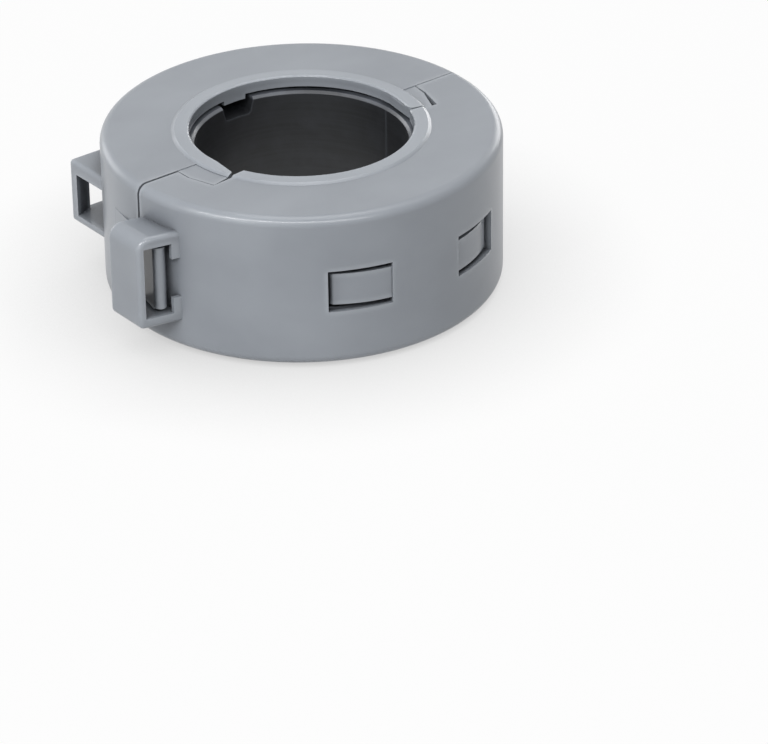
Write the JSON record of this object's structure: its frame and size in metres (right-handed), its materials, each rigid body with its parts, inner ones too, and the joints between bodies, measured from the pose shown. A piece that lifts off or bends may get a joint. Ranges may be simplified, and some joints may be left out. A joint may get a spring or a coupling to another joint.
{
  "type": "clip-on ferrite core",
  "caption": "Round clip-on cable ferrite: two ferrite half rings in a hinged nylon case with a snap latch, spring leaves and a tie loop.",
  "frame": {"origin": "centre of the cable bore, half way up the ring", "axes": "+Z along the bore axis, up; +X towards the hinge; -Y towards the half that carries the latch box"},
  "size_m": [0.0559, 0.048, 0.0198],
  "materials": {
    "case_nylon": "moulded satin blue-grey",
    "ferrite": "sintered dark charcoal"
  },
  "bodies": {
    "front": {"front_case_half": "case_nylon", "front_ferrite_half": "ferrite"},
    "rear": {"rear_case_half": "case_nylon", "rear_ferrite_half": "ferrite"}
  },
  "joints": [
    {"name": "case_hinge", "type": "hinge", "parent": "front", "child": "rear", "pos_m": [0.026, 0, 0], "axis": [0, 0, -1], "range_deg": [0, 180]}
  ]
}
